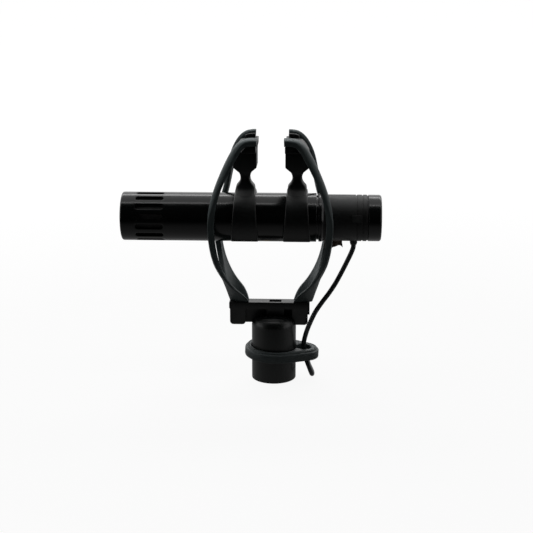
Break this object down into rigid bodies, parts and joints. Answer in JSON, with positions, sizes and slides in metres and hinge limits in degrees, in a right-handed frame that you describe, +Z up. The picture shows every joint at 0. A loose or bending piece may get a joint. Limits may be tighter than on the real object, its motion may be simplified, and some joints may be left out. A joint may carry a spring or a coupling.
{
  "type": "condenser microphone",
  "caption": "Short end-address condenser microphone in a lyre suspension on a stand stem, with an open clip under each hook, a lead kept by a rubber ring and a coiled end with its plug.",
  "frame": {"origin": "middle of the stem's lower face, on the axis of the stand socket", "axes": "+Z up along the stem, +X along the microphone towards its rear end, front slots at -X"},
  "size_m": [0.1116, 0.0784, 0.1093],
  "materials": {
    "tube_black": "black anodised, satin gloss",
    "grille_dark": "dark plated sheet",
    "mesh_dark": "fine woven wire",
    "capsule_brass": "turned",
    "film_gold": "gold film",
    "insulator_white": "moulded",
    "retainer_grey": "turned",
    "board_green": "glass-fibre board",
    "component_black": "moulded cases",
    "holder_grey": "moulded",
    "sleeve_black": "fine bead texture, matt black",
    "index_black": "matt",
    "cap_black": "black anodised, satin gloss",
    "seal_rubber": "moulded",
    "gland_rubber": "moulded",
    "tab_brown": "coated tape",
    "clip_black": "moulded, satin",
    "pin_steel": "drawn",
    "lyre_grey": "moulded elastomer, satin",
    "bar_black": "moulded, satin",
    "stem_black": "satin black",
    "screw_steel": "zinc plated",
    "ring_rubber": "moulded rubber",
    "lead_grey": "smooth jacket",
    "tie_black": "moulded strap",
    "plug_black": "moulded",
    "plug_gold": "gold plated"
  },
  "bodies": {
    "holder": {"lyre_left": "lyre_grey", "lyre_right": "lyre_grey", "base_bar": "bar_black", "stem": "stem_black", "bar_screw": "screw_steel", "screw_washer": "screw_steel", "cord_tube": "lead_grey", "cord_hank": "lead_grey", "hank_tie": "tie_black", "plug_sleeve": "plug_black", "plug_pin": "plug_gold"},
    "microphone": {"front_tube": "tube_black", "front_grille": "grille_dark", "slot_mesh": "mesh_dark", "capsule_housing": "capsule_brass", "diaphragm_ring": "film_gold", "diaphragm": "film_gold", "backplate": "capsule_brass", "capsule_insulator": "insulator_white", "capsule_contact": "film_gold", "capsule_retainer": "retainer_grey", "circuit_board": "board_green", "board_components": "component_black", "board_holders": "holder_grey", "coupling_ring": "tube_black", "rear_sleeve": "sleeve_black", "index_plate": "index_black", "cable_gland": "gland_rubber", "marker_tab": "tab_brown", "clip_left": "clip_black", "clip_right": "clip_black", "hanger_pins": "pin_steel"},
    "end_cap": {"end_cap": "cap_black", "cap_seal": "seal_rubber"},
    "cable_ring": {"cable_ring": "ring_rubber"}
  },
  "joints": [
    {"name": "suspension_float", "type": "slide", "parent": "holder", "child": "microphone", "axis": [1, 0, 0], "range_m": [-0.003, 0.003], "stiffness_N_per_m": 150, "deforming": ["lyre_left", "lyre_right", "cord_tube"]},
    {"name": "end_cap_turn", "type": "hinge", "parent": "microphone", "child": "end_cap", "pos_m": [0.0405, 0, 0.0731], "axis": [1, 0, 0], "continuous": true},
    {"name": "ring_slide", "type": "slide", "parent": "holder", "child": "cable_ring", "axis": [0, 0, 1], "range_m": [-0.001, 0.004]}
  ]
}
